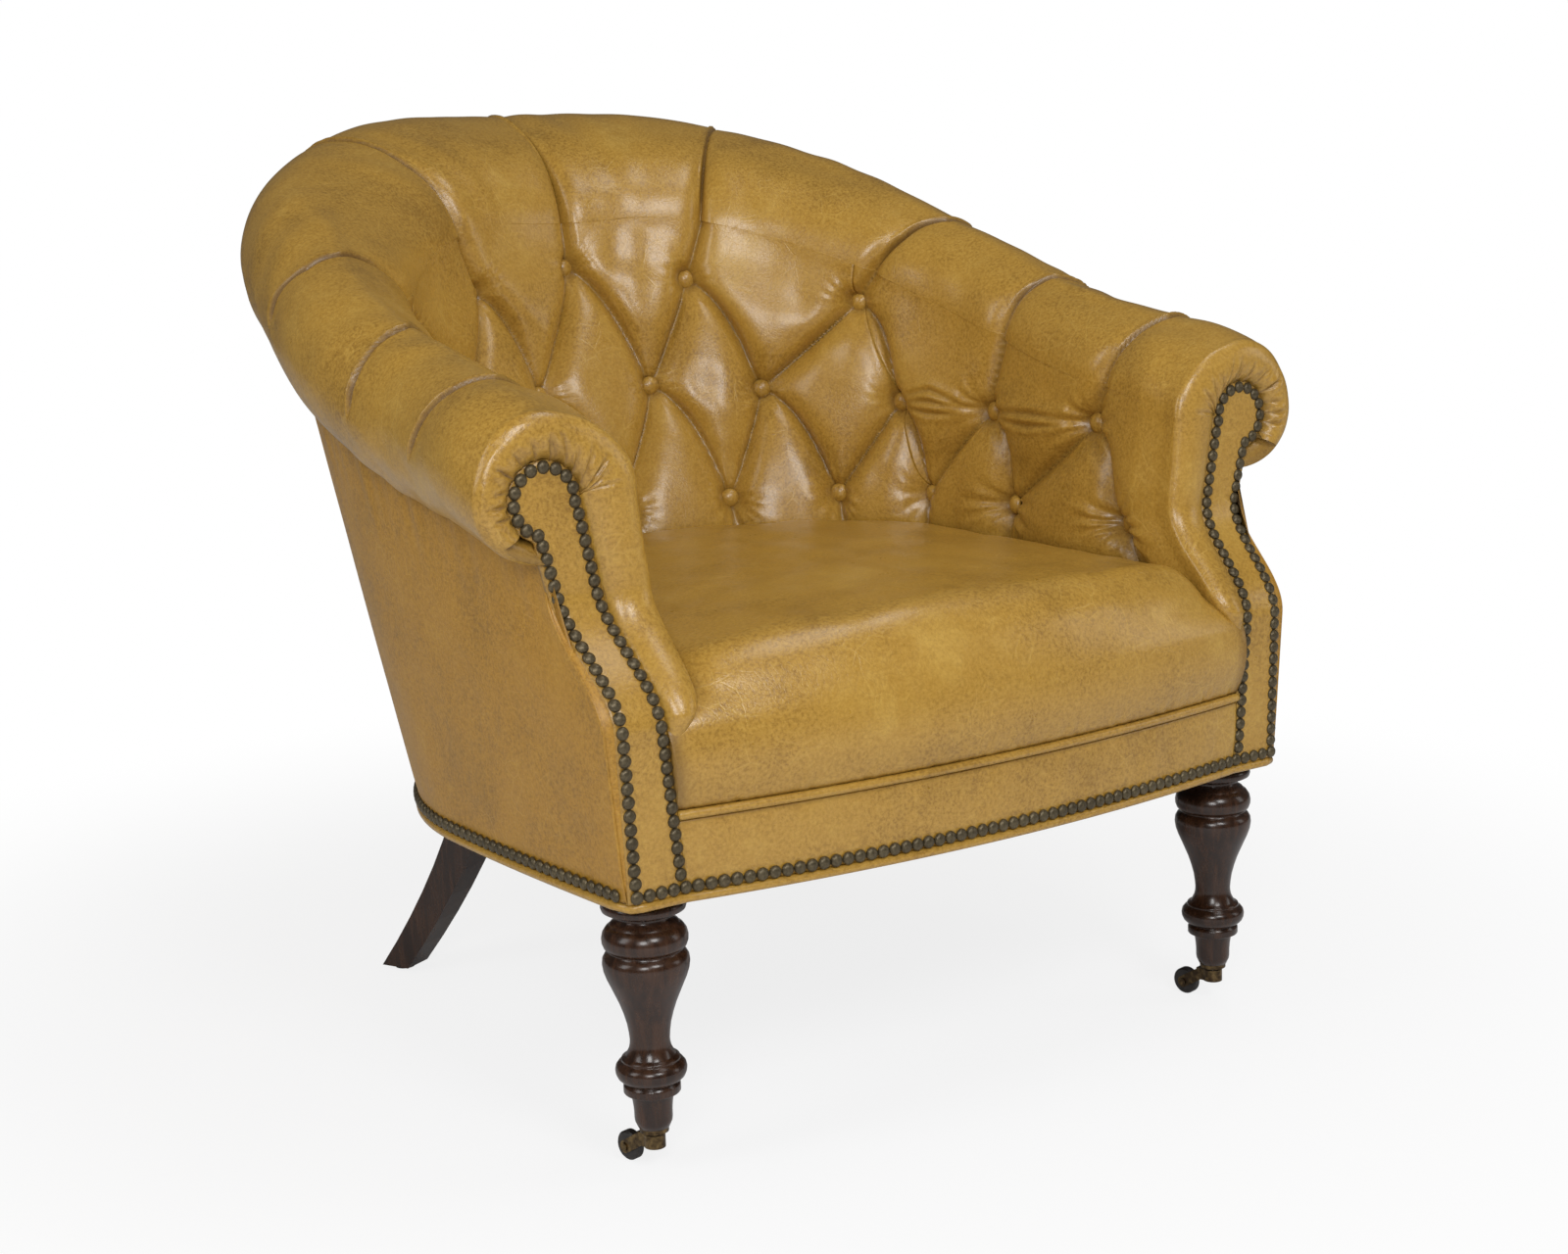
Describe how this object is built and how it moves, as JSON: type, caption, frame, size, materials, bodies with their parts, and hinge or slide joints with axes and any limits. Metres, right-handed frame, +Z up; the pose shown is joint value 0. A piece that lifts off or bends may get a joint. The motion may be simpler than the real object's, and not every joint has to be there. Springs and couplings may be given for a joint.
{
  "type": "tufted barrel-back accent chair",
  "caption": "Leather barrel-back accent chair with a deep-buttoned inside, rolled arms and back, nailed arm faces, turned front legs on casters and swept rear legs.",
  "frame": {"origin": "on the floor, in plan at the middle of the space that the chair takes up", "axes": "+Z up, -Y the way the chair faces, +X to the right as seen from the front"},
  "size_m": [0.8734, 0.9408, 0.873],
  "materials": {
    "leather": "semi-gloss, finely grained",
    "outside_leather": "semi-gloss, with an upright grain",
    "walnut": "dark, lacquered",
    "beech": "planed, unfinished",
    "nail_brass": "dark antique",
    "caster_brass": "antique, burnished",
    "steel": "zinc-plated",
    "webbing": "coarse woven jute",
    "foam": "open-cell foam",
    "dust_cloth": "thin non-woven cloth",
    "glide_plastic": "smooth",
    "wheel_rubber": "smooth, satin"
  },
  "bodies": {
    "chair": {"front_rail": "beech", "left_side_rail": "beech", "right_side_rail": "beech", "rear_rail": "beech", "left_front_block": "beech", "right_front_block": "beech", "rear_leg_blocks": "beech", "left_arm_stump": "beech", "right_arm_stump": "beech", "left_arm_rail": "beech", "right_arm_rail": "beech", "top_rail": "beech", "back_posts": "beech", "seat_springs": "steel", "spring_clips": "steel", "seat_deck": "webbing", "seat_foam": "foam", "seat_cover": "leather", "front_band": "leather", "seat_welt": "leather", "back_webbing": "webbing", "left_inside_arm": "leather", "right_inside_arm": "leather", "inside_back": "leather", "left_arm_roll": "leather", "right_arm_roll": "leather", "back_roll": "leather", "left_outside_cover": "outside_leather", "right_outside_cover": "outside_leather", "outside_back_cover": "outside_leather", "left_arm_face": "leather", "right_arm_face": "leather", "base_welt": "leather", "dust_cover": "dust_cloth", "left_face_nails": "nail_brass", "right_face_nails": "nail_brass", "front_nails": "nail_brass", "base_nails": "nail_brass", "back_buttons": "leather", "arm_buttons": "leather", "left_front_leg": "walnut", "right_front_leg": "walnut", "left_rear_leg": "walnut", "right_rear_leg": "walnut", "leg_bolts": "steel", "rear_leg_screws": "steel", "rear_glides": "glide_plastic", "left_caster_socket": "caster_brass", "right_caster_socket": "caster_brass"},
    "caster_left": {"left_caster_horn": "caster_brass", "left_caster_stem": "steel", "left_caster_axle": "caster_brass"},
    "wheel_left": {"left_caster_wheel": "wheel_rubber"},
    "caster_right": {"right_caster_horn": "caster_brass", "right_caster_stem": "steel", "right_caster_axle": "caster_brass"},
    "wheel_right": {"right_caster_wheel": "wheel_rubber"}
  },
  "joints": [
    {"name": "left_caster_swivel", "type": "hinge", "parent": "chair", "child": "caster_left", "pos_m": [-0.315, -0.3905, 0.04], "axis": [0, 0, 1], "continuous": true},
    {"name": "left_wheel_spin", "type": "hinge", "parent": "caster_left", "child": "wheel_left", "pos_m": [-0.3216, -0.36123, 0.0127], "axis": [0.9755, 0.2198, 0], "continuous": true},
    {"name": "right_caster_swivel", "type": "hinge", "parent": "chair", "child": "caster_right", "pos_m": [0.315, -0.3905, 0.04], "axis": [0, 0, 1], "continuous": true},
    {"name": "right_wheel_spin", "type": "hinge", "parent": "caster_right", "child": "wheel_right", "pos_m": [0.3084, -0.36123, 0.0127], "axis": [0.9755, 0.2198, 0], "continuous": true}
  ]
}
